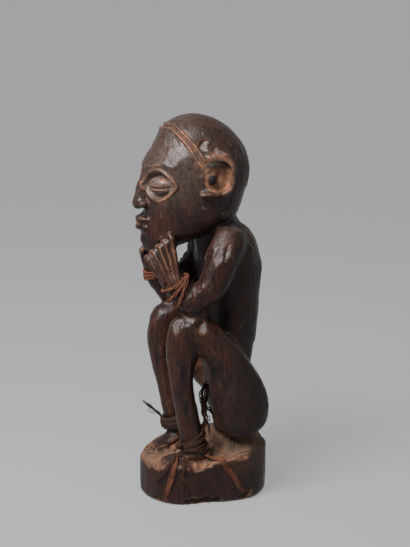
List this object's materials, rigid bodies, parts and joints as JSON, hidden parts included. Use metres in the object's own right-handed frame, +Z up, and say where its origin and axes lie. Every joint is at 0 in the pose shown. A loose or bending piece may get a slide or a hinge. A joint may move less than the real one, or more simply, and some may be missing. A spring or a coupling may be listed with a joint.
{
  "type": "carved squatting figure",
  "caption": "Dark carved wooden figure squatting on a round base, elbows on knees and hands at the jaw, raffia tied round wrists and ankles.",
  "frame": {"origin": "middle of the underside of the base", "axes": "+Z up, the figure faces -Y, its own left side is +X"},
  "size_m": [0.1088, 0.1183, 0.34],
  "materials": {
    "wood": "dark worn patina, half gloss",
    "raffia": "dull fibre",
    "dark_raffia": "dull fibre, darkened"
  },
  "bodies": {
    "root": {"figure": "wood", "left_wrist_lashing": "raffia", "right_wrist_lashing": "raffia", "left_ankle_lashing": "raffia", "right_ankle_lashing": "dark_raffia", "left_ankle_tail_front": "raffia", "left_ankle_tail_back": "raffia", "left_ankle_tail_curl": "dark_raffia"}
  },
  "joints": []
}
